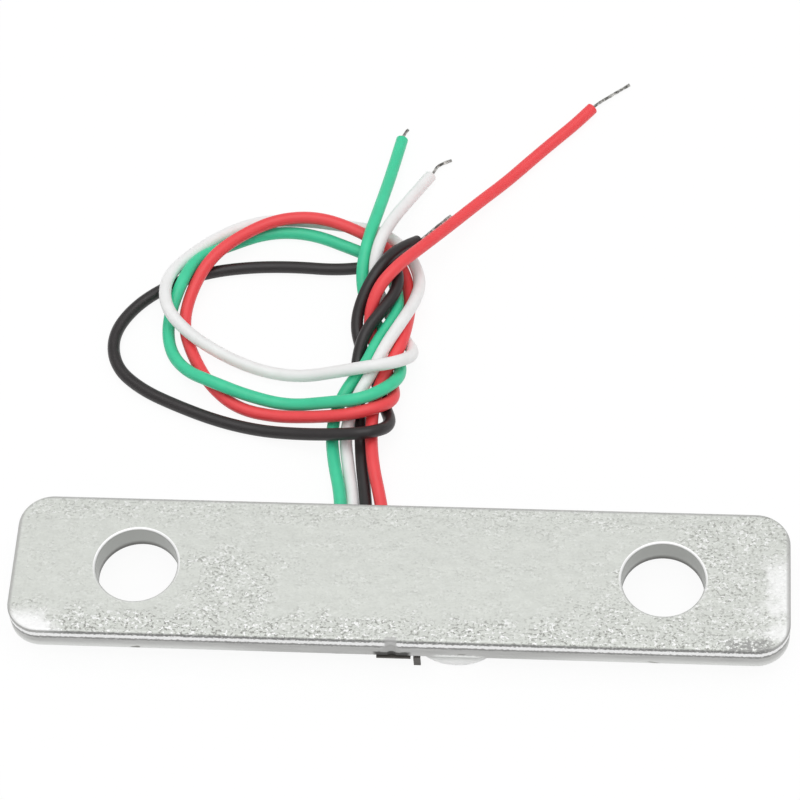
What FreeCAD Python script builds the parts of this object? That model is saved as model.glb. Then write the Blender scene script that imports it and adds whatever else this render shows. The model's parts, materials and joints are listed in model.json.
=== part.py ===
import FreeCAD, Part
import math
import os
from FreeCAD import Vector

# A miniature single point load cell: one flat metal bar with a clearance hole near each end,
# a full bridge strain gauge bonded under its middle, four insulated leads soldered to the gauge,
# and a coat of silicone over the gauge and the joints.  The leads are tied in one overhand knot.
# Millimetres.  +X runs along the bar, +Y to the side that the leads leave from, +Z up.
# The origin is on the surface that the silicone coat stands on, below the middle of the bar.

# Bar
BAR_LENGTH = 50.2
BAR_WIDTH = 10.2
BAR_THICKNESS = 2.0
BAR_CORNER_RADIUS = 2.2
BAR_EDGE_RADIUS = 0.25
HOLE_DIAMETER = 5.3
HOLE_SPACING = 34.0
HOLE_EDGE_RADIUS = 0.15
NICK_X = -0.2
NICK_RADIUS = 0.5
NICK_DEPTH = 0.1

# Silicone coat under the bar, which is also what the part stands on
COAT_THICKNESS = 1.2
COAT_EDGE_RADIUS = 0.35
COAT_CLEARANCE = 0.02

# Gauge film, with the tongue and the folded tab that show at the near edge of the bar
FILM_LENGTH = 11.6
FILM_WIDTH = 6.1
FILM_CENTRE_Y = -0.35
FILM_THICKNESS = 0.15
TONGUE_X = -0.1
TONGUE_WIDTH = 2.2
TONGUE_OVERHANG = 0.05
TAB_X = 1.4
TAB_WIDTH = 0.45
TAB_DROP = 0.8

# Strain grids, solder pads and solder joints
FOIL_THICKNESS = 0.03
GRID_LENGTH = 2.6
GRID_LINES = 7
GRID_LINE_WIDTH = 0.11
GRID_GAP = 0.11
GRID_SPACING_X = 7.2
GRID_SPACING_Y = 2.0
GRID_CENTRE_Y = -1.3
PAD_SIZE = 0.9
JOINT_RADIUS = 0.4

# Leads
LEAD_DIAMETER = 0.85
STRANDS_DIAMETER = 0.3
ROOT_LENGTH = 1.0
ROOT_END_IN_JOINT = 0.3
TIP_START_LENGTH = 0.5
BEND_SHARE = 0.45

# Heights that follow from the sizes above
BAR_BOTTOM = COAT_THICKNESS
FILM_BOTTOM = BAR_BOTTOM - FILM_THICKNESS
FOIL_BOTTOM = FILM_BOTTOM - FOIL_THICKNESS
NEAR_EDGE = -BAR_WIDTH / 2

# Outline of the silicone coat seen from above, with the lump that shows at the near edge
COAT_OUTLINE = (
    (7.0, 0.3), (6.4, 3.4), (4.0, 4.5), (0.0, 4.7), (-4.4, 4.7), (-6.7, 3.4), (-7.1, 0.2),
    (-6.3, -3.0), (-3.6, -4.0), (-0.6, -4.2), (1.4, -4.3), (2.4, -4.9), (4.0, -5.3),
    (5.4, -4.9), (6.6, -3.0),
)

# Routes of the four leads, from their solder joints to their stripped ends
LEAD_ROUTES = {
    "green": (
        (-4.8, 2.7, 0.6), (-4.25, 4.7, 0.75), (-4.4, 7.1, 0.9), (-5.1, 9.9, 0.6),
        (-5.45, 12.6, 0.5), (-4.8, 14.9, 1.2), (-3.35, 16.9, 1.7), (-2.7, 19.0, 1.6),
        (-1.4, 21.3, 1.65), (-1.7, 23.8, 0.65), (-2.6, 26.3, 0.45), (-5.0, 27.4, 0.45),
        (-8.1, 28.7, 0.45), (-11.1, 28.7, 0.45), (-13.9, 27.4, 0.45), (-15.8, 25.8, 1.2),
        (-16.6, 23.5, 1.55), (-17.4, 21.0, 0.45), (-17.0, 18.5, 0.45), (-15.7, 16.7, 0.8),
        (-13.7, 15.35, 1.6), (-11.2, 14.65, 1.0), (-8.5, 14.2, 0.6), (-5.8, 13.75, 1.8),
        (-3.3, 13.5, 2.75), (-1.7, 14.8, 2.25), (-0.9, 16.4, 1.35), (-1.3, 18.4, 0.45),
        (-2.5, 20.4, 0.45), (-3.7, 22.3, 0.45), (-4.25, 24.5, 1.3), (-3.9, 26.9, 2.15),
        (-3.4, 29.5, 1.8), (-3.0, 32.1, 1.1), (-2.6, 34.7, 0.6), (-2.2, 37.1, 0.45),
    ),
    "white": (
        (-3.6, 2.7, 0.6), (-3.4, 4.7, 0.45), (-3.65, 7.3, 0.45), (-4.15, 9.9, 0.45),
        (-4.5, 12.1, 0.55), (-3.9, 14.1, 1.6), (-2.9, 16.1, 1.95), (-2.1, 18.1, 2.3),
        (-1.0, 20.0, 2.65), (-0.3, 22.3, 1.7), (-0.1, 24.8, 0.6), (-1.1, 27.2, 0.45),
        (-3.1, 29.0, 0.45), (-5.8, 29.4, 0.45), (-8.7, 29.8, 0.45), (-11.6, 29.7, 0.45),
        (-14.2, 28.5, 0.45), (-16.4, 26.4, 0.7), (-17.7, 23.7, 1.7), (-17.4, 21.0, 2.1),
        (-15.7, 19.3, 1.5), (-13.2, 18.1, 0.6), (-10.5, 17.0, 0.45), (-7.8, 16.4, 0.8),
        (-5.2, 16.1, 2.05), (-3.0, 16.0, 2.95), (-1.3, 16.4, 2.85), (0.0, 17.9, 1.6),
        (-0.95, 19.9, 0.45), (-2.25, 22.1, 0.45), (-3.35, 24.1, 1.45), (-3.1, 26.3, 2.7),
        (-2.3, 28.9, 2.0), (-1.3, 31.4, 1.0), (0.0, 33.9, 0.45),
    ),
    "black": (
        (-2.4, 2.7, 0.6), (-2.5, 4.7, 0.6), (-2.8, 7.4, 0.45), (-3.25, 10.1, 0.45),
        (-3.5, 12.8, 0.45), (-3.8, 15.2, 0.45), (-4.1, 17.3, 0.85), (-3.65, 19.3, 1.95),
        (-2.5, 21.1, 2.15), (-1.5, 23.0, 2.1), (-1.7, 24.9, 2.05), (-3.75, 25.8, 0.6),
        (-6.1, 25.6, 0.45), (-9.0, 25.8, 0.45), (-12.0, 25.7, 0.45), (-14.9, 25.2, 0.45),
        (-17.5, 24.1, 0.45), (-19.8, 22.2, 0.45), (-21.1, 19.7, 0.45), (-20.6, 17.1, 0.45),
        (-18.6, 15.3, 0.45), (-15.9, 14.0, 0.45), (-13.1, 12.9, 0.45), (-10.3, 12.2, 0.5),
        (-7.6, 11.7, 1.0), (-5.0, 11.3, 1.7), (-2.6, 11.1, 2.35), (-1.3, 12.5, 1.1),
        (-2.0, 14.5, 0.45), (-2.75, 16.7, 0.45), (-3.85, 18.9, 0.45), (-4.4, 20.9, 0.9),
        (-3.8, 22.7, 2.1), (-2.65, 24.6, 2.85), (-1.6, 26.3, 2.3), (-0.5, 27.6, 1.3),
    ),
    "red": (
        (-1.2, 2.7, 0.6), (-1.3, 4.7, 0.6), (-1.8, 7.1, 0.8), (-2.4, 9.4, 1.1), (-2.7, 11.9, 1.1),
        (-2.65, 14.3, 1.25), (-2.05, 16.4, 1.55), (-1.05, 18.4, 1.9), (-0.75, 20.6, 1.45),
        (-0.75, 23.0, 0.45), (-1.2, 25.4, 0.45), (-2.55, 27.45, 0.6), (-4.9, 28.6, 1.2),
        (-7.6, 29.5, 1.35), (-10.4, 29.2, 1.4), (-12.9, 27.6, 1.5), (-14.8, 25.6, 1.55),
        (-15.95, 23.2, 0.9), (-16.3, 20.7, 0.45), (-15.4, 18.2, 0.45), (-14.0, 15.8, 0.45),
        (-12.0, 14.0, 0.45), (-9.5, 13.4, 0.45), (-6.9, 13.0, 1.1), (-4.4, 12.7, 1.95),
        (-2.6, 13.05, 2.25), (-1.2, 14.4, 1.3), (-1.6, 16.4, 0.45), (-2.6, 18.5, 0.45),
        (-3.5, 20.6, 1.0), (-3.0, 22.4, 2.65), (-1.65, 24.1, 3.2), (-0.1, 26.3, 2.4),
        (1.7, 28.7, 1.7), (3.6, 31.2, 1.1), (5.4, 33.4, 0.6), (7.1, 35.5, 0.45), (8.7, 37.3, 0.45),
        (10.1, 38.8, 0.45), (11.2, 40.2, 0.45),
    ),
}

# Bare strands beyond each lead's stripped end, after a first run in line with the lead
TIP_ROUTES = {
    "green": ((-1.85, 38.1, 0.3),),
    "white": ((0.5, 35.1, 0.25), (1.4, 35.5, 0.2)),
    "black": ((0.8, 29.5, 0.6), (1.6, 30.6, 0.25)),
    "red": ((12.6, 41.6, 0.25), (13.8, 42.6, 0.2)),
}


def box(centre_x, centre_y, bottom, length, width, height):
    corner = Vector(centre_x - length / 2, centre_y - width / 2, bottom)
    return Part.makeBox(length, width, height, corner)


def horizontal_edges(shape, height):
    return [e for e in shape.Edges if all(abs(v.Z - height) < 1e-6 for v in e.Vertexes)]


def bar():
    """The flat spring bar, with rounded corners, tumbled edges and its two holes."""
    blank = box(0, 0, BAR_BOTTOM, BAR_LENGTH, BAR_WIDTH, BAR_THICKNESS)
    upright = [e for e in blank.Edges if abs(e.Vertexes[0].Z - e.Vertexes[1].Z) > BAR_THICKNESS / 2]
    blank = blank.makeFillet(BAR_CORNER_RADIUS, upright)
    top = BAR_BOTTOM + BAR_THICKNESS
    rims = horizontal_edges(blank, BAR_BOTTOM) + horizontal_edges(blank, top)
    blank = blank.makeFillet(BAR_EDGE_RADIUS, rims)
    for side in (-1, 1):
        centre = Vector(side * HOLE_SPACING / 2, 0, BAR_BOTTOM)
        blank = blank.cut(Part.makeCylinder(HOLE_DIAMETER / 2, BAR_THICKNESS, centre))
    rings = [e for e in blank.Edges if isinstance(e.Curve, Part.Circle)
             and abs(e.Curve.Radius - HOLE_DIAMETER / 2) < 1e-6]
    blank = blank.makeFillet(HOLE_EDGE_RADIUS, rings)
    nick_centre = Vector(NICK_X, NEAR_EDGE + NICK_DEPTH - NICK_RADIUS, BAR_BOTTOM)
    return blank.cut(Part.makeCylinder(NICK_RADIUS, BAR_THICKNESS, nick_centre))


def gauge_film():
    """The gauge's carrier, glued under the bar, with a tongue out to the near edge."""
    sheet = box(0, FILM_CENTRE_Y, FILM_BOTTOM, FILM_LENGTH, FILM_WIDTH, FILM_THICKNESS)
    inner = FILM_CENTRE_Y - FILM_WIDTH / 2
    outer = NEAR_EDGE - TONGUE_OVERHANG
    for x, width in ((TONGUE_X, TONGUE_WIDTH), (TAB_X, TAB_WIDTH)):
        strip = box(x, (inner + outer) / 2, FILM_BOTTOM, width, inner - outer, FILM_THICKNESS)
        sheet = sheet.fuse(strip)
    fold = box(TAB_X, outer + FILM_THICKNESS / 2, FILM_BOTTOM - TAB_DROP,
               TAB_WIDTH, FILM_THICKNESS, TAB_DROP)
    return sheet.fuse(fold).removeSplitter()


def strain_grid(centre_x, centre_y):
    """One foil grid: parallel lines joined at alternate ends."""
    pitch = GRID_LINE_WIDTH + GRID_GAP
    first = centre_y - pitch * (GRID_LINES - 1) / 2
    pieces = []
    for i in range(GRID_LINES):
        y = first + i * pitch
        pieces.append(box(centre_x, y, FOIL_BOTTOM, GRID_LENGTH, GRID_LINE_WIDTH, FOIL_THICKNESS))
        if i < GRID_LINES - 1:
            side = 1 if i % 2 == 0 else -1
            x = centre_x + side * (GRID_LENGTH - GRID_LINE_WIDTH) / 2
            pieces.append(box(x, y + pitch / 2, FOIL_BOTTOM, GRID_LINE_WIDTH, pitch, FOIL_THICKNESS))
    return pieces[0].fuse(pieces[1:]).removeSplitter()


def points(route):
    return [Vector(*p) for p in route]


def bends(route):
    """Radius, start and end of the arc at each inner point of a route."""
    found = []
    for before, corner, after in zip(route, route[1:], route[2:]):
        into = before - corner
        out = after - corner
        reach = BEND_SHARE * min(into.Length, out.Length)
        half_turn = (math.pi - into.getAngle(out)) / 2
        into.normalize()
        out.normalize()
        found.append((reach / math.tan(half_turn), corner + into * reach, corner + out * reach))
    return found


def tube(route, diameter):
    """A round solid along straight runs joined by tangent arcs."""
    route = points(route)
    edges = []
    at = route[0]
    for corner, (radius, start, end) in zip(route[1:], bends(route)):
        edges.append(Part.LineSegment(at, start).toShape())
        middle = (start + end) * 0.5
        to_corner = corner - middle
        span = (end - start).Length / 2
        depth = radius - math.sqrt(radius * radius - span * span)
        to_corner.normalize()
        edges.append(Part.Arc(start, middle + to_corner * depth, end).toShape())
        at = end
    edges.append(Part.LineSegment(at, route[-1]).toShape())
    path = Part.Wire(edges)
    ring = Part.Wire(Part.makeCircle(diameter / 2, route[0], route[1] - route[0]))
    return path.makePipeShell([ring], True, False), path.Length


def root_ends(route):
    """Both ends of the bare strands that run from a lead's end into its solder joint."""
    start, second = points(route[:2])
    back = start - second
    back.normalize()
    return start, start + back * ROOT_LENGTH


def root_strands(route, diameter):
    start, end = root_ends(route)
    return Part.makeCylinder(diameter / 2, ROOT_LENGTH, start, end - start)


def joint_place(route):
    """The middle of a solder joint, a little way up the bare strands from their end."""
    start, end = root_ends(route)
    along = start - end
    along.normalize()
    return end + along * ROOT_END_IN_JOINT


def solder_pad(route):
    place = joint_place(route)
    return box(place.x, place.y, FOIL_BOTTOM, PAD_SIZE, PAD_SIZE, FOIL_THICKNESS)


def solder_joint(route, extra=0.0):
    """A bead of solder that hangs from its pad, round the end of the bare strands."""
    place = joint_place(route)
    radius = JOINT_RADIUS + extra
    stem = Part.makeCylinder(radius, FOIL_BOTTOM - place.z, place)
    drop = Part.makeSphere(radius, place, Vector(0, 0, 1), -90, 0)
    return stem.fuse(drop).removeSplitter()


def tip_strands(lead_route, tip_route):
    """The bare strands at a lead's stripped end, which start square to its cut face."""
    before, end = points(lead_route[-2:])
    along = end - before
    along.normalize()
    first = end + along * TIP_START_LENGTH
    return tube((tuple(end), tuple(first)) + tip_route, STRANDS_DIAMETER)[0]


def coat(inner_solids):
    """The silicone over the gauge and joints, flat where it stands."""
    curve = Part.BSplineCurve()
    curve.interpolate([Vector(x, y, 0) for x, y in COAT_OUTLINE], PeriodicFlag=True)
    body = Part.Face(Part.Wire(curve.toShape())).extrude(Vector(0, 0, COAT_THICKNESS))
    body = body.makeFillet(COAT_EDGE_RADIUS, horizontal_edges(body, 0))
    for solid in inner_solids:
        body = body.cut(solid)
    return body


def export(shape, node):
    if not shape.isValid() or len(shape.Solids) != 1:
        raise ValueError(node + " is not one valid solid")
    shape.Solids[0].exportStep("parts/" + node + ".step")


def main():
    os.makedirs("parts", exist_ok=True)
    fat = 2 * COAT_CLEARANCE
    film = gauge_film()
    inner = [film]
    export(bar(), "bar")
    export(film, "gauge_film")
    number = 0
    for side_y in (-1, 1):
        for side_x in (-1, 1):
            number += 1
            grid = strain_grid(side_x * GRID_SPACING_X / 2, GRID_CENTRE_Y + side_y * GRID_SPACING_Y / 2)
            export(grid, "strain_grid_" + str(number))
            inner.append(grid)
    for colour, route in LEAD_ROUTES.items():
        pad = solder_pad(route)
        roots = root_strands(route, STRANDS_DIAMETER)
        lead, length = tube(route, LEAD_DIAMETER)
        export(pad, "solder_pad_" + colour)
        export(solder_joint(route).cut(roots), "solder_joint_" + colour)
        export(roots, "root_strands_" + colour)
        export(lead, "lead_" + colour)
        export(tip_strands(route, TIP_ROUTES[colour]), "tip_strands_" + colour)
        inner += [pad, solder_joint(route, COAT_CLEARANCE), root_strands(route, STRANDS_DIAMETER + fat),
                  tube(route[:5], LEAD_DIAMETER + fat)[0]]
        radii = [radius for radius, start, end in bends(points(route))]
        section = math.pi * LEAD_DIAMETER ** 2 / 4
        print(colour, "length %.1f" % length, "volume over section times length",
              round(lead.Volume / (section * length), 4), "bend radii",
              " ".join("%.1f" % radius for radius in radii))
    export(coat(inner), "silicone_coat")


main()
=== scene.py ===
import json
import math

import bpy
from bpy.props import FloatProperty, FloatVectorProperty, IntProperty, PointerProperty
from bpy.types import Operator, Panel, PropertyGroup
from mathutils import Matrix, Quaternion, Vector


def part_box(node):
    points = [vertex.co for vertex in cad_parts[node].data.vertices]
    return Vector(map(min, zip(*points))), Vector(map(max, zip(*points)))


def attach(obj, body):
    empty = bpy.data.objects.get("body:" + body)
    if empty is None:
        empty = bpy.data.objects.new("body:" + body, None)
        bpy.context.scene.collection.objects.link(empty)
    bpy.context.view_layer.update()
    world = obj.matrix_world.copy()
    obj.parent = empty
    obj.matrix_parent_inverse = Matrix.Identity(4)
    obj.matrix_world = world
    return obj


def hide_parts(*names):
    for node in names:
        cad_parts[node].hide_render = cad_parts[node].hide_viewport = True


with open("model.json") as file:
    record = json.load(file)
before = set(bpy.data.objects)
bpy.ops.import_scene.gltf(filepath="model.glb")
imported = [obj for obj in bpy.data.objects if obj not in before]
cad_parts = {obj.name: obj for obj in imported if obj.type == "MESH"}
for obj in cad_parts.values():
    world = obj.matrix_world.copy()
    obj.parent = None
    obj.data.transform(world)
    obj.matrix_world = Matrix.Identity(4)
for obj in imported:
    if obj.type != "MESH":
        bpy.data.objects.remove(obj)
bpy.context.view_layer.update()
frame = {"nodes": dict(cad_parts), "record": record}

bl_info = {
    "name": "Single Point Load Cell",
    "version": (1, 0, 0),
    "blender": (4, 5, 0),
    "location": "View3D > Sidebar > Load Cell",
    "description": "Builds a miniature single point load cell with four knotted leads",
    "category": "Object",
}

BAR_LOW, BAR_HIGH = (Vector(corner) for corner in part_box("bar"))
BORES = [mount for mount in frame["record"]["mounts"] if mount["kind"] == "bore"]
MM = 0.001

# Routes of the four leads in metres, from their solder joints to their stripped ends
LEAD_ROUTES = {
    "green": (
        (-0.0048, 0.0027, 0.0006), (-0.00425, 0.0047, 0.00075), (-0.0044, 0.0071, 0.0009),
        (-0.0051, 0.0099, 0.0006), (-0.00545, 0.0126, 0.0005), (-0.0048, 0.0149, 0.0012),
        (-0.00335, 0.0169, 0.0017), (-0.0027, 0.019, 0.0016), (-0.0014, 0.0213, 0.00165),
        (-0.0017, 0.0238, 0.00065), (-0.0026, 0.0263, 0.00045), (-0.005, 0.0274, 0.00045),
        (-0.0081, 0.0287, 0.00045), (-0.0111, 0.0287, 0.00045), (-0.0139, 0.0274, 0.00045),
        (-0.0158, 0.0258, 0.0012), (-0.0166, 0.0235, 0.00155), (-0.0174, 0.021, 0.00045),
        (-0.017, 0.0185, 0.00045), (-0.0157, 0.0167, 0.0008), (-0.0137, 0.01535, 0.0016),
        (-0.0112, 0.01465, 0.001), (-0.0085, 0.0142, 0.0006), (-0.0058, 0.01375, 0.0018),
        (-0.0033, 0.0135, 0.00275), (-0.0017, 0.0148, 0.00225), (-0.0009, 0.0164, 0.00135),
        (-0.0013, 0.0184, 0.00045), (-0.0025, 0.0204, 0.00045), (-0.0037, 0.0223, 0.00045),
        (-0.00425, 0.0245, 0.0013), (-0.0039, 0.0269, 0.00215), (-0.0034, 0.0295, 0.0018),
        (-0.003, 0.0321, 0.0011), (-0.0026, 0.0347, 0.0006), (-0.0022, 0.0371, 0.00045),
    ),
    "white": (
        (-0.0036, 0.0027, 0.0006), (-0.0034, 0.0047, 0.00045), (-0.00365, 0.0073, 0.00045),
        (-0.00415, 0.0099, 0.00045), (-0.0045, 0.0121, 0.00055), (-0.0039, 0.0141, 0.0016),
        (-0.0029, 0.0161, 0.00195), (-0.0021, 0.0181, 0.0023), (-0.001, 0.02, 0.00265),
        (-0.0003, 0.0223, 0.0017), (-0.0001, 0.0248, 0.0006), (-0.0011, 0.0272, 0.00045),
        (-0.0031, 0.029, 0.00045), (-0.0058, 0.0294, 0.00045), (-0.0087, 0.0298, 0.00045),
        (-0.0116, 0.0297, 0.00045), (-0.0142, 0.0285, 0.00045), (-0.0164, 0.0264, 0.0007),
        (-0.0177, 0.0237, 0.0017), (-0.0174, 0.021, 0.0021), (-0.0157, 0.0193, 0.0015),
        (-0.0132, 0.0181, 0.0006), (-0.0105, 0.017, 0.00045), (-0.0078, 0.0164, 0.0008),
        (-0.0052, 0.0161, 0.00205), (-0.003, 0.016, 0.00295), (-0.0013, 0.0164, 0.00285),
        (0.0, 0.0179, 0.0016), (-0.00095, 0.0199, 0.00045), (-0.00225, 0.0221, 0.00045),
        (-0.00335, 0.0241, 0.00145), (-0.0031, 0.0263, 0.0027), (-0.0023, 0.0289, 0.002),
        (-0.0013, 0.0314, 0.001), (0.0, 0.0339, 0.00045),
    ),
    "black": (
        (-0.0024, 0.0027, 0.0006), (-0.0025, 0.0047, 0.0006), (-0.0028, 0.0074, 0.00045),
        (-0.00325, 0.0101, 0.00045), (-0.0035, 0.0128, 0.00045), (-0.0038, 0.0152, 0.00045),
        (-0.0041, 0.0173, 0.00085), (-0.00365, 0.0193, 0.00195), (-0.0025, 0.0211, 0.00215),
        (-0.0015, 0.023, 0.0021), (-0.0017, 0.0249, 0.00205), (-0.00375, 0.0258, 0.0006),
        (-0.0061, 0.0256, 0.00045), (-0.009, 0.0258, 0.00045), (-0.012, 0.0257, 0.00045),
        (-0.0149, 0.0252, 0.00045), (-0.0175, 0.0241, 0.00045), (-0.0198, 0.0222, 0.00045),
        (-0.0211, 0.0197, 0.00045), (-0.0206, 0.0171, 0.00045), (-0.0186, 0.0153, 0.00045),
        (-0.0159, 0.014, 0.00045), (-0.0131, 0.0129, 0.00045), (-0.0103, 0.0122, 0.0005),
        (-0.0076, 0.0117, 0.001), (-0.005, 0.0113, 0.0017), (-0.0026, 0.0111, 0.00235),
        (-0.0013, 0.0125, 0.0011), (-0.002, 0.0145, 0.00045), (-0.00275, 0.0167, 0.00045),
        (-0.00385, 0.0189, 0.00045), (-0.0044, 0.0209, 0.0009), (-0.0038, 0.0227, 0.0021),
        (-0.00265, 0.0246, 0.00285), (-0.0016, 0.0263, 0.0023), (-0.0005, 0.0276, 0.0013),
    ),
    "red": (
        (-0.0012, 0.0027, 0.0006), (-0.0013, 0.0047, 0.0006), (-0.0018, 0.0071, 0.0008),
        (-0.0024, 0.0094, 0.0011), (-0.0027, 0.0119, 0.0011), (-0.00265, 0.0143, 0.00125),
        (-0.00205, 0.0164, 0.00155), (-0.00105, 0.0184, 0.0019), (-0.00075, 0.0206, 0.00145),
        (-0.00075, 0.023, 0.00045), (-0.0012, 0.0254, 0.00045), (-0.00255, 0.02745, 0.0006),
        (-0.0049, 0.0286, 0.0012), (-0.0076, 0.0295, 0.00135), (-0.0104, 0.0292, 0.0014),
        (-0.0129, 0.0276, 0.0015), (-0.0148, 0.0256, 0.00155), (-0.01595, 0.0232, 0.0009),
        (-0.0163, 0.0207, 0.00045), (-0.0154, 0.0182, 0.00045), (-0.014, 0.0158, 0.00045),
        (-0.012, 0.014, 0.00045), (-0.0095, 0.0134, 0.00045), (-0.0069, 0.013, 0.0011),
        (-0.0044, 0.0127, 0.00195), (-0.0026, 0.01305, 0.00225), (-0.0012, 0.0144, 0.0013),
        (-0.0016, 0.0164, 0.00045), (-0.0026, 0.0185, 0.00045), (-0.0035, 0.0206, 0.001),
        (-0.003, 0.0224, 0.00265), (-0.00165, 0.0241, 0.0032), (-0.0001, 0.0263, 0.0024),
        (0.0017, 0.0287, 0.0017), (0.0036, 0.0312, 0.0011), (0.0054, 0.0334, 0.0006),
        (0.0071, 0.0355, 0.00045), (0.0087, 0.0373, 0.00045), (0.0101, 0.0388, 0.00045),
        (0.0112, 0.0402, 0.00045),
    ),
}

# Bare strands beyond each stripped end, in metres
TIP_ROUTES = {
    "green": ((-0.00185, 0.0381, 0.0003),),
    "white": ((0.0005, 0.0351, 0.00025), (0.0014, 0.0355, 0.0002)),
    "black": ((0.0008, 0.0295, 0.0006), (0.0016, 0.0306, 0.00025)),
    "red": ((0.0126, 0.0416, 0.00025), (0.0138, 0.0426, 0.0002)),
}
TIP_START_LENGTH = 0.0005

# Turn of the outer bare strands round the middle one, in radians per metre
STRAND_TWIST = 2000

# Dabs of silicone that run together into the coat: place, then half sizes, in millimetres
SILICONE_DABS = (
    (0.0, 0.3, 0.62, 6.6, 4.0, 0.62), (-3.6, 1.2, 0.6, 3.3, 3.3, 0.6),
    (3.6, 1.0, 0.62, 3.3, 3.3, 0.62), (-3.5, -1.4, 0.6, 3.0, 2.4, 0.6),
    (3.4, -1.6, 0.65, 3.2, 2.6, 0.65), (0.2, -2.0, 0.6, 3.2, 2.0, 0.6),
    (3.9, -3.5, 0.62, 2.7, 1.78, 0.62), (-3.0, 3.4, 0.6, 3.0, 1.25, 0.6),
)

# The cylinder that cuts the nick: its radius, and how far outside the bar its middle stands, in metres
NICK_RADIUS = 0.0005
NICK_OUTSIDE = 0.0004

# How far a point may lie from a height or a rim and still count as on it, in metres
LEVEL_TOLERANCE = 0.001 * MM
RIM_TOLERANCE = 0.02 * MM

# Stage, in metres unless the name says otherwise, and the roll in radians
FLOOR_SIZE = 3
SOFTBOX_SIZE = 0.42
SOFTBOX_HEIGHT = 0.4
CAMERA_PLACE = (0.0163, -0.1065, 0.1869)
CAMERA_TARGET = (-0.0009, 0.0145, BAR_LOW.z)
CAMERA_ROLL = math.radians(-5.38)
SENSOR_WIDTH_MM = 36


# Settings that a user would change

class MetalSettings(PropertyGroup):
    """The bar's form and finish."""
    face_colour: FloatVectorProperty(
        name="Face colour", description="Colour of the tumbled flat faces", subtype="COLOR",
        size=3, min=0, max=1, default=(0.68, 0.70, 0.66))
    pit_colour: FloatVectorProperty(
        name="Pit colour", description="Colour of the dark pits", subtype="COLOR",
        size=3, min=0, max=1, default=(0.27, 0.27, 0.25))
    side_colour: FloatVectorProperty(
        name="Side colour", description="Colour of the punched sides", subtype="COLOR",
        size=3, min=0, max=1, default=(0.50, 0.50, 0.49))
    roughness: FloatProperty(
        name="Roughness", description="Roughness of the flat faces", min=0, max=1, default=0.38)
    edge_radius: FloatProperty(
        name="Edge radius", description="Radius of the tumbled outer edges", unit="LENGTH",
        min=0.00005, max=0.0008, default=0.00025)
    corner_radius: FloatProperty(
        name="Corner radius", description="Radius of the bar's corners seen from above", unit="LENGTH",
        min=0.0005, max=0.005, default=0.0022)
    nick_x: FloatProperty(
        name="Nick place", description="Place along the bar of the small filed nick", unit="LENGTH",
        min=-0.02, max=0.02, default=-0.0002)
    rim_radius: FloatProperty(
        name="Hole rim radius", description="Radius of the worn rims of the two holes", unit="LENGTH",
        min=0.00005, max=0.0004, default=0.00018)


class LeadSettings(PropertyGroup):
    """The leads' sizes and insulation colours."""
    diameter: FloatProperty(
        name="Lead diameter", description="Outside diameter of the insulation", unit="LENGTH",
        min=0.0003, max=0.003, default=0.00085)
    strands_diameter: FloatProperty(
        name="Strands diameter", description="Diameter of the bundle of bare strands", unit="LENGTH",
        min=0.0001, max=0.001, default=0.00021)
    strand_count: IntProperty(
        name="Strands", description="Outer strands in each bare end", min=3, max=12, default=6)
    green: FloatVectorProperty(
        name="Green", description="Insulation colour of the green lead", subtype="COLOR",
        size=3, min=0, max=1, default=(0.055, 0.68, 0.38))
    white: FloatVectorProperty(
        name="White", description="Insulation colour of the white lead", subtype="COLOR",
        size=3, min=0, max=1, default=(0.97, 0.97, 0.96))
    black: FloatVectorProperty(
        name="Black", description="Insulation colour of the black lead", subtype="COLOR",
        size=3, min=0, max=1, default=(0.022, 0.018, 0.019))
    red: FloatVectorProperty(
        name="Red", description="Insulation colour of the red lead", subtype="COLOR",
        size=3, min=0, max=1, default=(1.0, 0.075, 0.085))


class SiliconeSettings(PropertyGroup):
    """The coat of silicone."""
    colour: FloatVectorProperty(
        name="Silicone colour", description="Colour of the cured silicone", subtype="COLOR",
        size=3, min=0, max=1, default=(0.98, 0.99, 0.97))
    voxel: FloatProperty(
        name="Voxel size", description="Size of the voxels that join the dabs", unit="LENGTH",
        min=0.00005, max=0.0005, default=0.00012)


class StageSettings(PropertyGroup):
    """Camera, lamps and floor."""
    lens: FloatProperty(
        name="Lens", description="Focal length on a 36 mm sensor", subtype="DISTANCE_CAMERA",
        min=20, max=400, default=148.86)
    sky: FloatProperty(
        name="Sky level", description="Brightness of the even light from all round", min=0, max=3,
        default=0.62)
    softbox: FloatProperty(
        name="Softbox level", description="Brightness of the overhead softbox's face", min=0, max=20,
        default=1.3)


# Building materials

# White of the painted highlights: glints, glare, the hole rims and the bright strip on the sides
HIGHLIGHT_WHITE = (1.0, 1.0, 1.0)
# Colour of the painted reflection that lightens the lower sides towards the ends
SIDE_REFLECTION_PALE = (0.86, 0.87, 0.85)
# Colour of the painted shade low on the near side, above the gauge film
FILM_SHADE_COLOUR = (0.05, 0.048, 0.045)
SMEAR_COLOUR = (0.95, 0.96, 0.94)

# Places along the bar in millimetres: where a feature starts, is full, starts to fade and ends
SPECKLED_PATCH = (-14.5, -12.5, -9.5, -6.0)
# Painted shade on the near side above the gauge film
FILM_SHADE_SPAN = (-1.5, -1.1, 0.9, 1.3)
SILICONE_SMEAR = (2.2, 3.0, 4.9, 6.0)

# Depths below the bar's top in millimetres, in the same order, of the painted highlight strip and the
# painted dark reflection strip on the sides
HIGHLIGHT_STRIP = (0.22, 0.3, 0.56, 0.66)
DARK_REFLECTION_STRIP = (0.62, 0.7, 0.78, 0.88)


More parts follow.
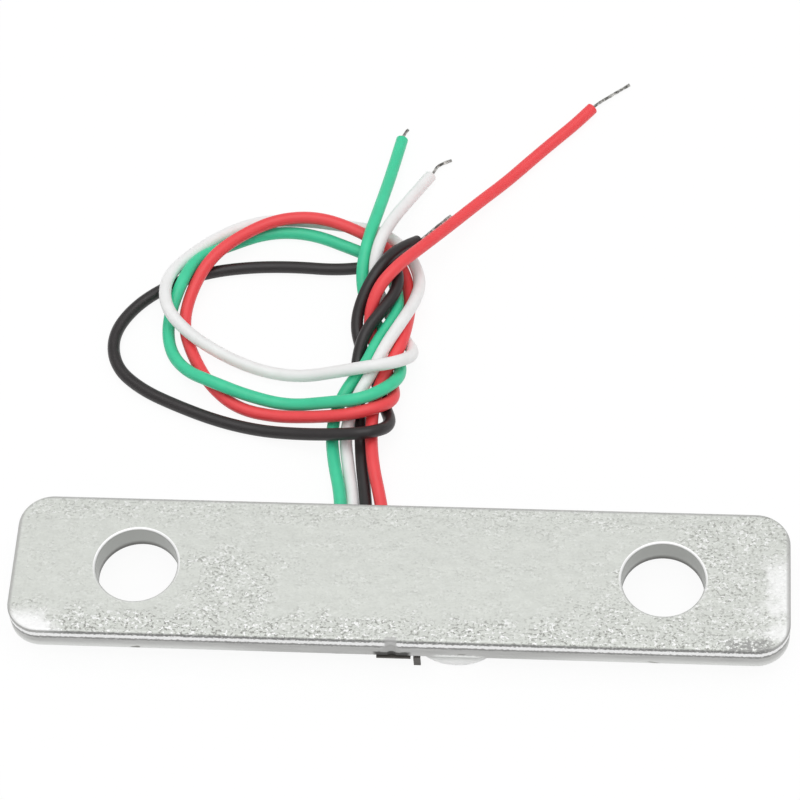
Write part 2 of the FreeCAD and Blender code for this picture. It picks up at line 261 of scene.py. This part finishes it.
class Finish:
    """One material and the calls that add nodes to it."""

    def __init__(self, name):
        self.material = bpy.data.materials.new(name)
        self.material.use_nodes = True
        self.tree = self.material.node_tree
        self.shader = self.tree.nodes["Principled BSDF"]

    def feed(self, socket, value):
        """Links a socket to an input, or sets the input to a value."""
        if isinstance(value, bpy.types.NodeSocket):
            self.tree.links.new(value, socket)
        else:
            socket.default_value = value

    def add(self, kind, inputs=None, output=0, **settings):
        """Adds a node and gives back one of its outputs."""
        made = self.tree.nodes.new(kind)
        for name, value in settings.items():
            setattr(made, name, value)
        for key, value in (inputs or {}).items():
            self.feed(made.inputs[key], value)
        return made.outputs[output]

    def place(self):
        """Object coordinates in millimetres."""
        coordinates = self.add("ShaderNodeTexCoord", output="Object")
        return self.add("ShaderNodeVectorMath", {0: coordinates, "Scale": 1 / MM}, operation="SCALE")

    def stretched(self, vector, scale):
        return self.add("ShaderNodeVectorMath", {0: vector, 1: scale}, operation="MULTIPLY")

    def math(self, operation, first, second=0.0):
        return self.add("ShaderNodeMath", {0: first, 1: second}, operation=operation)

    def product(self, first, *others):
        for other in others:
            first = self.math("MULTIPLY", first, other)
        return first

    def largest(self, first, *others):
        for other in others:
            first = self.math("MAXIMUM", first, other)
        return first

    def noise(self, vector, scale, detail=2.0, rough=0.5):
        inputs = {"Vector": vector, "Scale": scale, "Detail": detail, "Roughness": rough}
        return self.add("ShaderNodeTexNoise", inputs)

    def between(self, value, low, high, out_low=0.0, out_high=1.0):
        """A smooth change from out_low at low to out_high at high."""
        inputs = {"Value": value, "From Min": low, "From Max": high,
                  "To Min": out_low, "To Max": out_high}
        return self.add("ShaderNodeMapRange", inputs, interpolation_type="SMOOTHSTEP")

    def band(self, value, low, full_low, full_high, high):
        """One from full_low to full_high, and nothing below low or above high."""
        return self.product(self.between(value, low, full_low), self.between(value, high, full_high))

    def blend(self, factor, first, second):
        made = self.tree.nodes.new("ShaderNodeMix")
        made.data_type = "RGBA"
        self.feed(made.inputs["Factor"], factor)
        self.feed(made.inputs["A"], self.colour(first))
        self.feed(made.inputs["B"], self.colour(second))
        return made.outputs["Result"]

    def layer(self, base, colour, *shares):
        """A colour laid over the base, as strongly as the product of its shares."""
        return self.blend(self.product(*shares), base, colour)

    def colour(self, value):
        return value if isinstance(value, bpy.types.NodeSocket) else (*value[:3], 1.0)

    def bump(self, height, strength, distance):
        inputs = {"Height": height, "Strength": strength, "Distance": distance}
        self.feed(self.shader.inputs["Normal"], self.add("ShaderNodeBump", inputs))

    def set(self, **values):
        """Feeds the shader's inputs, named with _ for a space, and gives back the material."""
        for name, value in values.items():
            socket = self.shader.inputs[name.replace("_", " ")]
            self.feed(socket, self.colour(value) if name.endswith("Color") else value)
        return self.material


def darker(colour, share):
    """A colour times a share, which is above one for a lighter colour."""
    return tuple(channel * share for channel in colour)


class BarFinish(Finish):
    """Tumbled metal: speckled along the near edge with painted glints, bright at the rims with a painted
    highlight, dull on the sides with painted bands of reflection and shade.
    """

    def __init__(self, metal):
        super().__init__("tumbled_metal")
        self.metal = metal

        # Measures of the bar in millimetres
        self.near, self.far, self.right = BAR_LOW.y / MM, BAR_HIGH.y / MM, BAR_HIGH.x / MM
        self.thickness = (BAR_HIGH.z - BAR_LOW.z) / MM
        self.hole = BORES[0]["dims"]["r_mm"]

        # Where a shaded point lies
        self.here = self.place()
        axes = self.add("ShaderNodeSeparateXYZ", {0: self.here}).node.outputs
        self.x, self.y = axes["X"], axes["Y"]
        self.outwards = self.math("ABSOLUTE", self.x)
        self.depth = self.math("SUBTRACT", BAR_HIGH.z / MM, axes["Z"])
        from_hole = self.math("SUBTRACT", self.outwards, BORES[1]["pos_m"][0] / MM)
        ring = self.add("ShaderNodeCombineXYZ", {"X": from_hole, "Y": self.y})
        self.radius = self.add("ShaderNodeVectorMath", {0: ring}, output="Value", operation="LENGTH")

        # The same point with uneven edges, and the grain that several parts share
        self.wander = self.math("SUBTRACT", self.noise(self.here, 0.6, 3.0), 0.5)
        self.x_edge = self.math("ADD", self.x, self.product(self.wander, 7.0))
        self.y_edge = self.math("ADD", self.y, self.product(self.wander, 3.0))
        fine = self.stretched(self.here, (0.75, 1.0, 1.0))
        self.grain = self.noise(fine, 6.5, 2.0, 0.6)
        self.spark = self.noise(fine, 5.5, 2.0, 0.6)
        self.streak = self.noise(self.stretched(self.here, (0.3, 1.0, 1.0)), 2.6, 3.0, 0.6)
        uneven = self.product(self.math("SUBTRACT", self.grain, 0.5), 0.35)
        self.ragged = self.math("ADD", self.depth, uneven)
        self.worn = self.speckled_part()

    def speckled_part(self):
        """Where the faces are speckled: along both long edges, at the right and in a patch."""
        near_band = self.between(self.y_edge, self.near + 2.3, self.near + 1.2)
        far_band = self.between(self.y_edge, self.far - 2.6, self.far - 1.2, out_high=0.5)
        slant = self.math("SUBTRACT", self.x_edge, self.product(self.y, 1.2))
        right_part = self.between(slant, 11.5, 15.5, out_high=0.8)
        patch = self.product(self.band(self.x_edge, *SPECKLED_PATCH),
                             self.between(self.y_edge, 2.6, 0.4, out_high=0.8))
        worn = self.largest(near_band, far_band, right_part, patch)
        cloud = self.noise(self.stretched(self.here, (0.6, 1.0, 1.0)), 0.9, 3.0, 0.6)
        worn = self.product(worn, self.between(cloud, 0.38, 0.56, out_low=0.5))
        return self.largest(worn, self.between(cloud, 0.42, 0.62, 0.1, 0.26))

    def flat_faces(self):
        """The colour of the top and the underside, with painted glints, glare and highlights on the hole
        rims.
        """
        metal = self.metal
        cloud = self.noise(self.stretched(self.here, (0.5, 1.0, 1.0)), 1.6, 4.0, 0.65)
        face = self.blend(self.between(cloud, 0.35, 0.65),
                          darker(metal.face_colour, 0.94), metal.face_colour)
        face = self.layer(face, (0.76, 0.78, 0.74), self.between(self.streak, 0.5, 0.75, out_high=0.3))
        face = self.layer(face, metal.pit_colour, self.between(self.grain, 0.50, 0.36), self.worn, 0.9)
        # White sparkles on the speckled parts: painted glints
        face = self.layer(face, HIGHLIGHT_WHITE, self.between(self.spark, 0.56, 0.64), self.worn, 0.9)

        # Glare at the near left corner and across the right end
        corner = self.product(self.between(self.y, self.near + 2.0, self.near + 0.8),
                              self.between(self.x_edge, -21.0, -23.0))
        end_band = self.product(self.between(self.y_edge, 2.5, 0.5, out_high=0.8),
                                self.between(self.x_edge, self.right - 2.2, self.right - 0.4))
        face = self.layer(face, HIGHLIGHT_WHITE, self.largest(corner, end_band), 0.9)

        # A dull patch by the near right corner
        right = self.right
        face = self.layer(face, darker(metal.side_colour, 0.7),
                          self.band(self.x, right - 4.6, right - 3.6, right - 1.6, right - 0.9),
                          self.between(self.y, self.near + 1.2, self.near + 0.6),
                          self.between(self.spark, 0.6, 0.45))

        # The darker far and end borders, then a painted highlight on the worn rims of the holes,
        # stronger on the far side
        border = self.largest(self.between(self.y, self.far - 0.34, self.far - 0.2),
                              self.between(self.outwards, right - 0.34, right - 0.2))
        face = self.layer(face, metal.side_colour, border, 0.6)
        return self.layer(face, HIGHLIGHT_WHITE, self.between(self.y, -1.5, 0.8, 0.25, 0.95),
                          self.between(self.radius, self.hole + 0.21, self.hole + 0.16))

    def walls(self):
        """The colour of the sides, from the rounded top edge down, and of the walls of the holes, with
        painted reflections and shade.
        """
        side = self.metal.side_colour
        drawn = self.noise(self.stretched(self.here, (0.12, 0.12, 1.0)), 4.0, 3.0, 0.6)
        walls = self.blend(drawn, darker(side, 0.78), darker(side, 1.22))
        # Painted reflection: the lower sides lighter towards the ends
        walls = self.layer(walls, SIDE_REFLECTION_PALE, self.between(self.depth, 1.0, 1.8),
                           self.between(self.outwards, 6.0, 13.0, 0.12, 0.8))
        # Painted bands of reflection under the top edge: a dark strip, then a highlight strip
        walls = self.layer(walls, darker(side, 0.55), self.band(self.ragged, *DARK_REFLECTION_STRIP))
        walls = self.layer(walls, HIGHLIGHT_WHITE, self.band(self.ragged, *HIGHLIGHT_STRIP))
        scuff = self.noise(self.stretched(self.here, (0.35, 0.35, 1.0)), 1.1, 2.0, 0.5)
        walls = self.layer(walls, self.metal.pit_colour, self.between(scuff, 0.66, 0.7),
                           self.between(self.depth, 1.3, 1.5))

        # The dotted line of painted dark reflection under the top edge, broken up by the grain, fainter
        # towards the ends
        ends = self.band(self.x, -23.0, -20.5, self.right - 2.0, self.right - 0.6)
        walls = self.layer(walls, darker(side, 0.5),
                           self.between(self.grain, 0.62, 0.5, out_low=0.25),
                           self.between(self.ragged, 0.26, 0.18),
                           self.between(ends, 0.0, 1.0, out_low=0.25))

        # Painted shade low on the near side above the gauge film, and silicone, on the near side only
        near_side = self.between(self.y, self.near + 0.3, self.near + 0.2)
        along = self.math("ADD", self.x, self.wander)
        walls = self.layer(walls, FILM_SHADE_COLOUR, self.band(along, *FILM_SHADE_SPAN),
                           self.between(self.ragged, 1.25, 1.5), near_side)
        walls = self.layer(walls, SMEAR_COLOUR, self.band(self.x, *SILICONE_SMEAR),
                           self.between(self.ragged, 1.5, 1.7), near_side)

        # The walls of the holes, with painted shade darkening them towards the bottom
        bore_wall_shade = self.blend(self.between(self.depth, 1.3, 1.75),
                               (0.45, 0.46, 0.44), (0.12, 0.12, 0.11))
        return self.layer(walls, bore_wall_shade,
                          self.between(self.radius, self.hole + 0.12, self.hole + 0.05))

    def nicked(self, colour):
        """The colour with the filed nick's wedge on it, which widens with depth."""
        from_nick = self.math("ABSOLUTE", self.math("SUBTRACT", self.x, self.metal.nick_x / MM))
        wedge = self.product(self.largest(self.depth, 0.5), 0.3)
        from_wedge = self.math("SUBTRACT", from_nick, wedge)
        return self.layer(colour, darker(self.metal.side_colour, 0.9),
                          self.between(from_wedge, 0.3, 0.15),
                          self.between(self.y, self.near + 0.36, self.near + 0.24),
                          self.between(self.depth, 1.5, 1.35), 0.85)

    def finished(self):
        """The whole material."""
        below_top = self.between(self.depth, 0.04, 0.1)
        above_bottom = self.between(self.depth, self.thickness - 0.02, self.thickness - 0.06)
        colour = self.blend(self.product(below_top, above_bottom), self.flat_faces(), self.walls())
        height = self.math("ADD", self.product(self.grain, self.math("ADD", self.worn, 0.1)),
                           self.product(self.streak, 0.15))
        self.bump(height, 0.4, 0.00005)
        dull = self.metal.roughness
        rough = self.between(self.worn, 0.0, 1.0, dull, dull + 0.08)
        return self.set(Base_Color=self.nicked(colour), Metallic=0.35, Roughness=rough)


def insulation_finish(name, colour):
    """Soft extruded insulation: faint die lines, a satin sheen and slight mottling."""
    finish = Finish(name)
    place = finish.place()
    mottle = finish.noise(place, 0.9, 2.0, 0.5)
    grain = finish.noise(place, 9.0, 2.0, 0.5)
    lit = tuple(min(1.0, channel * 1.08 + 0.004) for channel in colour)
    tone = finish.blend(mottle, darker(colour, 0.88), lit)
    finish.bump(grain, 0.15, 0.00002)
    rough = finish.between(mottle, 0.3, 0.7, 0.34, 0.44)
    return finish.set(Base_Color=tone, Roughness=rough, Specular_IOR_Level=0.5,
                      Subsurface_Weight=0.25, Subsurface_Radius=(0.0003, 0.0003, 0.0003))


def strand_finish():
    """Tinned copper strands, dulled and streaked."""
    finish = Finish("tinned_strands")
    place = finish.place()
    tarnish = finish.noise(place, 3.5, 3.0, 0.6)
    tone = finish.blend(finish.between(tarnish, 0.35, 0.65), (0.15, 0.15, 0.14), (0.74, 0.73, 0.70))
    finish.bump(finish.noise(place, 14.0, 1.0, 0.5), 0.3, 0.00002)
    rough = finish.between(tarnish, 0.3, 0.7, 0.5, 0.32)
    return finish.set(Base_Color=tone, Metallic=0.8, Roughness=rough)


def solder_finish():
    """Bright solder with a slightly frosted, wrinkled skin."""
    finish = Finish("solder")
    place = finish.place()
    frost = finish.noise(place, 4.0, 3.0, 0.6)
    tone = finish.blend(frost, (0.50, 0.50, 0.50), (0.78, 0.78, 0.79))
    finish.bump(frost, 0.35, 0.00005)
    rough = finish.between(frost, 0.3, 0.7, 0.22, 0.42)
    return finish.set(Base_Color=tone, Metallic=1.0, Roughness=rough)


def foil_finish(name, colour):
    """Etched foil: fine rolling lines along the grid."""
    finish = Finish(name)
    place = finish.place()
    lines = finish.noise(finish.stretched(place, (0.3, 4.0, 1.0)), 5.0, 2.0, 0.6)
    tone = finish.blend(lines, darker(colour, 0.75), colour)
    finish.bump(lines, 0.2, 0.00001)
    rough = finish.between(lines, 0.3, 0.7, 0.3, 0.45)
    return finish.set(Base_Color=tone, Metallic=1.0, Roughness=rough)


def film_finish():
    """Dark gauge carrier film with a faint weave of scratches."""
    finish = Finish("carrier_film")
    place = finish.place()
    mottle = finish.noise(place, 1.4, 3.0, 0.6)
    scratches = finish.noise(finish.stretched(place, (0.4, 5.0, 1.0)), 4.0, 2.0, 0.6)
    tone = finish.blend(mottle, (0.055, 0.050, 0.045), (0.12, 0.11, 0.10))
    finish.bump(scratches, 0.2, 0.00002)
    return finish.set(Base_Color=tone, Roughness=finish.between(scratches, 0.3, 0.7, 0.42, 0.58))


def silicone_finish(silicone):
    """Cured silicone: milky, wet looking and faintly uneven."""
    finish = Finish("cured_silicone")
    place = finish.place()
    milk = finish.noise(place, 0.8, 3.0, 0.6)
    bubbles = finish.add("ShaderNodeTexVoronoi", {"Vector": place, "Scale": 0.9}, output="Distance")
    tone = finish.blend(milk, darker(silicone.colour, 0.95), silicone.colour)
    tone = finish.blend(finish.between(bubbles, 0.09, 0.05, 0.0, 0.55), tone, (0.55, 0.56, 0.54))
    finish.bump(finish.noise(place, 1.6, 2.0, 0.5), 0.2, 0.0001)
    return finish.set(Base_Color=tone, Roughness=finish.between(milk, 0.3, 0.7, 0.24, 0.34), IOR=1.41,
                      Subsurface_Weight=0.5, Subsurface_Radius=(0.0008, 0.0008, 0.0008))


# Helpers for modelling

def start_fresh():
    """Leaves edit mode and selects nothing."""
    if bpy.context.object and bpy.context.object.mode != "OBJECT":
        bpy.ops.object.mode_set(mode="OBJECT")
    bpy.ops.object.select_all(action="DESELECT")


def only(*objects):
    """Selects just these objects, the first one active."""
    start_fresh()
    for thing in objects:
        thing.select_set(True)
    bpy.context.view_layer.objects.active = objects[0]


SELECT_MODES = {"polygons": "FACE", "edges": "EDGE", "vertices": "VERT"}


def pick(kind, test):
    """In edit mode, selects just the faces, edges or vertices for which test is true."""
    piece = bpy.context.object
    bpy.ops.mesh.select_all(action="DESELECT")
    bpy.ops.mesh.select_mode(type=SELECT_MODES[kind])
    bpy.ops.object.mode_set(mode="OBJECT")
    found = 0
    for element in getattr(piece.data, kind):
        element.select = test(element)
        found += element.select
    if not found:
        raise RuntimeError("No " + kind + " to shape on " + piece.name)
    bpy.ops.object.mode_set(mode="EDIT")


def apply_modifier(piece, kind, **settings):
    modifier = piece.modifiers.new(kind.lower(), kind)
    for name, value in settings.items():
        setattr(modifier, name, value)
    only(piece)
    if bpy.ops.object.modifier_apply(modifier=modifier.name) != {"FINISHED"}:
        raise RuntimeError(kind + " can't be applied to " + piece.name)


def settle(piece, material):
    """Gives a finished piece its material, slot and body."""
    piece.data.materials.clear()
    piece.data.materials.append(material)
    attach(piece, "root")


def finish_nodes(prefix, material):
    """Gives every CAD node whose name starts with prefix a material."""
    nodes = [node for name, node in frame["nodes"].items() if name.startswith(prefix)]
    if not nodes:
        raise RuntimeError("The frame has no node named " + prefix)
    for node in nodes:
        for slot in node.material_slots:
            slot.material = material


def round_edge(radius, steps):
    """From the selected flat face's edge inwards, rises along a quarter circle."""
    turns = [0.5 * math.pi * step / steps for step in range(steps + 1)]
    for before, after in zip(turns, turns[1:]):
        inwards = radius * (math.cos(before) - math.cos(after))
        outwards = radius * (math.sin(after) - math.sin(before))
        bpy.ops.mesh.inset(thickness=inwards, depth=outwards)


def cut_with(piece, *cutters):
    """Cuts the cutters out of a piece and removes them."""
    for cutter in cutters:
        apply_modifier(piece, "BOOLEAN", operation="DIFFERENCE", solver="EXACT", object=cutter)
        bpy.data.objects.remove(cutter)


def cylinder(radius, depth, location, vertices=96):
    start_fresh()
    bpy.ops.mesh.primitive_cylinder_add(
        vertices=vertices, radius=radius, depth=depth, location=location)
    return bpy.context.object


def build_bar(metal):
    """The bar without its holes: a plate with rounded corners and rolled-off edges."""
    size = BAR_HIGH - BAR_LOW
    middle = (BAR_HIGH + BAR_LOW) / 2
    start_fresh()
    bottom = BAR_LOW.z + metal.edge_radius
    bpy.ops.mesh.primitive_plane_add(size=1, location=(middle.x, middle.y, bottom))
    piece = bpy.context.object
    piece.name = "punched_bar"
    piece.scale = (size.x, size.y, 1)
    bpy.ops.object.transform_apply(location=True, rotation=False, scale=True)
    bpy.ops.object.mode_set(mode="EDIT")
    bpy.ops.mesh.select_all(action="SELECT")
    bpy.ops.mesh.bevel(offset=metal.corner_radius, segments=14, affect="VERTICES")
    bpy.ops.mesh.select_all(action="SELECT")
    rise = size.z - 2 * metal.edge_radius
    bpy.ops.mesh.extrude_region_move(TRANSFORM_OT_translate={"value": (0, 0, rise)})
    bpy.ops.mesh.select_all(action="SELECT")
    bpy.ops.mesh.normals_make_consistent(inside=False)
    for side in (1, -1):
        pick("polygons", lambda face: face.normal.z * side > 0.9)
        round_edge(metal.edge_radius, steps=6)
    bpy.ops.object.mode_set(mode="OBJECT")
    return piece


def on_hole_rim(piece, edge, radius):
    """True for an edge of a hole's rim, on the bar's top or bottom."""
    ends = [piece.data.vertices[i].co for i in edge.vertices]
    for bore in BORES:
        centre = Vector(bore["pos_m"]).xy
        if all(abs((end.xy - centre).length - radius) < RIM_TOLERANCE for end in ends):
            return abs(ends[0].z - ends[1].z) < LEVEL_TOLERANCE
    return False


# Operators

class BuildBar(Operator):
    """Models the punched bar with its rolled-off edges, two holes and filed nick"""
    bl_idname = "loadcell.build_bar"
    bl_label = "Bar"

    def execute(self, context):
        metal = context.scene.loadcell_metal
        piece = build_bar(metal)
        middle = (BAR_HIGH + BAR_LOW) / 2
        radius = BORES[0]["dims"]["r_mm"] * MM
        tall = 2 * (BAR_HIGH.z - BAR_LOW.z)
        cut_with(piece, *(cylinder(radius, tall, bore["pos_m"]) for bore in BORES))
        only(piece)
        bpy.ops.object.mode_set(mode="EDIT")
        pick("edges", lambda edge: on_hole_rim(piece, edge, radius))
        bpy.ops.mesh.bevel(offset=metal.rim_radius, segments=5, affect="EDGES")
        bpy.ops.object.mode_set(mode="OBJECT")
        nick_place = (metal.nick_x, BAR_LOW.y - NICK_OUTSIDE, middle.z)
        cut_with(piece, cylinder(NICK_RADIUS, tall, nick_place, vertices=48))
        only(piece)
        bpy.ops.object.shade_smooth_by_angle(angle=math.radians(32))
        apply_modifier(piece, "WEIGHTED_NORMAL", mode="FACE_AREA", keep_sharp=True)
        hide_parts("bar")
        settle(piece, BarFinish(metal).finished())
        return {"FINISHED"}


class FinishGauge(Operator):
    """Finishes the gauge under the bar: film, grids, pads, solder joints and bare strands"""
    bl_idname = "loadcell.finish_gauge"
    bl_label = "Gauge"

    def execute(self, context):
        finish_nodes("gauge_film", film_finish())
        finish_nodes("strain_grid_", foil_finish("grid_foil", (0.62, 0.50, 0.36)))
        finish_nodes("solder_pad_", foil_finish("pad_copper", (0.75, 0.42, 0.28)))
        finish_nodes("solder_joint_", solder_finish())
        finish_nodes("root_strands_", strand_finish())
        return {"FINISHED"}


def tube(name, kind, places, diameter, resolution, caps=True):
    """A round tube along one spline, whose kind is NURBS for a smooth line or POLY for straight runs."""
    data = bpy.data.curves.new(name, "CURVE")
    data.dimensions = "3D"
    data.resolution_u = 8
    data.bevel_depth = diameter / 2
    data.bevel_resolution = resolution
    data.use_fill_caps = caps
    spline = data.splines.new(kind)
    spline.points.add(len(places) - 1)
    for point, place in zip(spline.points, places):
        point.co = (*place, 1.0)
    if kind == "NURBS":
        spline.order_u = 3
        spline.use_endpoint_u = True
    piece = bpy.data.objects.new(name, data)
    bpy.context.scene.collection.objects.link(piece)
    return piece


def line_points(route):
    """Points read from the smooth spline of a route."""
    guide = tube("guide", "NURBS", route, 0.0, resolution=6, caps=False)
    bpy.context.view_layer.update()
    mesh = bpy.data.meshes.new_from_object(guide)
    found = [vertex.co.copy() for vertex in mesh.vertices]
    bpy.data.meshes.remove(mesh)
    bpy.data.objects.remove(guide)
    return found


def tip_line(colour):
    """The line that a lead's bare strands follow, which starts square to its cut face."""
    before, end = (Vector(point) for point in LEAD_ROUTES[colour][-2:])
    first = end + (end - before).normalized() * TIP_START_LENGTH
    return line_points((tuple(end), tuple(first)) + TIP_ROUTES[colour])


def strand(name, line, diameter, offset=0.0, turn=0.0, spread=0.0):
    """One strand that winds round a line and strays a little towards its end."""
    places = []
    travelled = 0.0
    for i, place in enumerate(line):
        ahead = (line[min(i + 1, len(line) - 1)] - line[max(i - 1, 0)]).normalized()
        across = ahead.cross(Vector((0, 0, 1))).normalized()
        above = across.cross(ahead)
        if i:
            travelled += (place - line[i - 1]).length
        share = i / (len(line) - 1)
        angle = turn + STRAND_TWIST * travelled
        radius = offset * (1 + spread * share ** 2)
        places.append(place + across * radius * math.cos(angle) + above * radius * math.sin(angle))
    return tube(name, "POLY", places, diameter, resolution=2)


class AddLeads(Operator):
    """Lays the four insulated leads along their knotted routes, with their twisted bare ends"""
    bl_idname = "loadcell.add_leads"
    bl_label = "Leads"

    def execute(self, context):
        leads = context.scene.loadcell_leads
        metal = strand_finish()
        for colour, route in LEAD_ROUTES.items():
            tip = self.bare_end(colour, leads)
            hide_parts("tip_strands_" + colour)
            settle(tip, metal)
            lead = tube("insulated_lead_" + colour, "NURBS", route, leads.diameter, resolution=6)
            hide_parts("lead_" + colour)
            settle(lead, insulation_finish("insulation_" + colour, getattr(leads, colour)))
        return {"FINISHED"}

    def bare_end(self, colour, leads):
        """A straight strand with the others twisted round it, joined into one piece."""
        line = tip_line(colour)
        fine = leads.strands_diameter / 3
        made = [strand("bare_end_" + colour, line, fine)]
        for i in range(leads.strand_count):
            turn = 2 * math.pi * i / leads.strand_count
            made.append(strand("strand", line, fine, offset=fine, turn=turn, spread=0.1 * (i % 3)))
        only(*made)
        bpy.ops.object.convert(target="MESH")
        bpy.ops.object.join()
        piece = bpy.context.object
        bpy.ops.object.shade_smooth()
        return piece


class AddSilicone(Operator):
    """Runs dabs of silicone together into the lumpy coat under the bar"""
    bl_idname = "loadcell.add_silicone"
    bl_label = "Silicone coat"

    def execute(self, context):
        silicone = context.scene.loadcell_silicone
        dabs = []
        for x, y, z, half_x, half_y, half_z in SILICONE_DABS:
            start_fresh()
            bpy.ops.mesh.primitive_uv_sphere_add(segments=48, ring_count=24, radius=MM,
                                                 location=(x * MM, y * MM, z * MM))
            dab = bpy.context.object
            dab.scale = (half_x, half_y, half_z)
            bpy.ops.object.transform_apply(location=True, rotation=False, scale=True)
            dabs.append(dab)
        only(*dabs)
        bpy.ops.object.join()
        piece = bpy.context.object
        piece.name = "silicone_dab"
        apply_modifier(piece, "REMESH", mode="VOXEL", voxel_size=silicone.voxel)
        apply_modifier(piece, "SMOOTH", factor=0.5, iterations=14)
        self.flatten(piece)
        bpy.ops.object.shade_smooth()
        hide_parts("silicone_coat")
        settle(piece, silicone_finish(silicone))
        return {"FINISHED"}

    def flatten(self, piece):
        """Presses what would reach into the bar flat against it."""
        only(piece)
        bpy.ops.object.mode_set(mode="EDIT")
        pick("vertices", lambda vertex: vertex.co.z > BAR_LOW.z)
        bpy.ops.transform.resize(value=(1, 1, 0), center_override=(0, 0, BAR_LOW.z))
        bpy.ops.object.mode_set(mode="OBJECT")
        if max(vertex.co.z for vertex in piece.data.vertices) > BAR_LOW.z + LEVEL_TOLERANCE:
            raise RuntimeError("The silicone still reaches into the bar")


class SetStage(Operator):
    """Sets the floor, the lamps, the sky and the camera"""
    bl_idname = "loadcell.set_stage"
    bl_label = "Stage"

    def execute(self, context):
        stage = context.scene.loadcell_stage
        self.floor()
        self.sky(stage)
        self.softbox(stage)
        self.camera(stage)
        context.scene.view_settings.view_transform = "Standard"
        return {"FINISHED"}

    def floor(self):
        start_fresh()
        bpy.ops.mesh.primitive_plane_add(size=FLOOR_SIZE, location=(0, 0, 0))
        floor = bpy.context.object
        floor.name = "floor"
        finish = Finish("pale_floor")
        finish.set(Base_Color=(0.9, 0.9, 0.9), Roughness=0.9, Specular_IOR_Level=0.1)
        glow = finish.add("ShaderNodeEmission", {"Color": (1, 1, 1, 1), "Strength": 1.02})
        ray = finish.add("ShaderNodeLightPath").node.outputs
        seen = finish.largest(ray["Is Camera Ray"], ray["Is Glossy Ray"], ray["Is Transmission Ray"])
        share = finish.product(seen, 0.9)
        mixed = finish.add("ShaderNodeMixShader", {0: share, 1: finish.shader.outputs[0], 2: glow})
        finish.tree.links.new(mixed, finish.tree.nodes["Material Output"].inputs["Surface"])
        floor.data.materials.append(finish.material)

    def sky(self, stage):
        world = bpy.data.worlds.new("even_sky")
        world.use_nodes = True
        back = world.node_tree.nodes["Background"]
        back.inputs["Color"].default_value = (1, 1, 1, 1)
        back.inputs["Strength"].default_value = stage.sky
        bpy.context.scene.world = world

    def softbox(self, stage):
        lamp = bpy.data.lights.new("overhead_softbox", "AREA")
        lamp.shape = "SQUARE"
        lamp.size = SOFTBOX_SIZE
        lamp.energy = stage.softbox * math.pi * SOFTBOX_SIZE ** 2
        holder = bpy.data.objects.new("overhead_softbox", lamp)
        holder.location = (0.0, 0.0, SOFTBOX_HEIGHT)
        bpy.context.scene.collection.objects.link(holder)

    def camera(self, stage):
        data = bpy.data.cameras.new("camera")
        data.sensor_width = SENSOR_WIDTH_MM
        data.lens = stage.lens
        data.clip_start = 0.01
        holder = bpy.data.objects.new("camera", data)
        holder.location = CAMERA_PLACE
        look = (Vector(CAMERA_TARGET) - holder.location).to_track_quat("-Z", "Y")
        roll = Quaternion((0, 0, 1), CAMERA_ROLL)
        holder.rotation_euler = (look @ roll).to_euler()
        bpy.context.scene.collection.objects.link(holder)
        bpy.context.scene.camera = holder


class LoadCellPanel(Panel):
    """Lists the load cell's settings and build steps"""
    bl_idname = "VIEW3D_PT_loadcell"
    bl_label = "Load Cell"
    bl_space_type = "VIEW_3D"
    bl_region_type = "UI"
    bl_category = "Load Cell"

    def draw(self, context):
        layout = self.layout
        for group in GROUPS:
            settings = getattr(context.scene, group)
            for name in settings.__annotations__:
                layout.prop(settings, name)
        for operator in STEPS:
            layout.operator(operator.bl_idname)


GROUPS = {
    "loadcell_metal": MetalSettings,
    "loadcell_leads": LeadSettings,
    "loadcell_silicone": SiliconeSettings,
    "loadcell_stage": StageSettings,
}
STEPS = (BuildBar, FinishGauge, AddSilicone, AddLeads, SetStage)


def register():
    for group in GROUPS.values():
        bpy.utils.register_class(group)
    for name, group in GROUPS.items():
        setattr(bpy.types.Scene, name, PointerProperty(type=group))
    for operator in STEPS:
        bpy.utils.register_class(operator)
    bpy.utils.register_class(LoadCellPanel)


def unregister():
    bpy.utils.unregister_class(LoadCellPanel)
    for operator in reversed(STEPS):
        bpy.utils.unregister_class(operator)
    for name in GROUPS:
        delattr(bpy.types.Scene, name)
    for group in reversed(GROUPS.values()):
        bpy.utils.unregister_class(group)


def main():
    register()
    bpy.ops.loadcell.build_bar()
    bpy.ops.loadcell.finish_gauge()
    bpy.ops.loadcell.add_silicone()
    bpy.ops.loadcell.add_leads()
    bpy.ops.loadcell.set_stage()


if __name__ == "__main__":
    main()
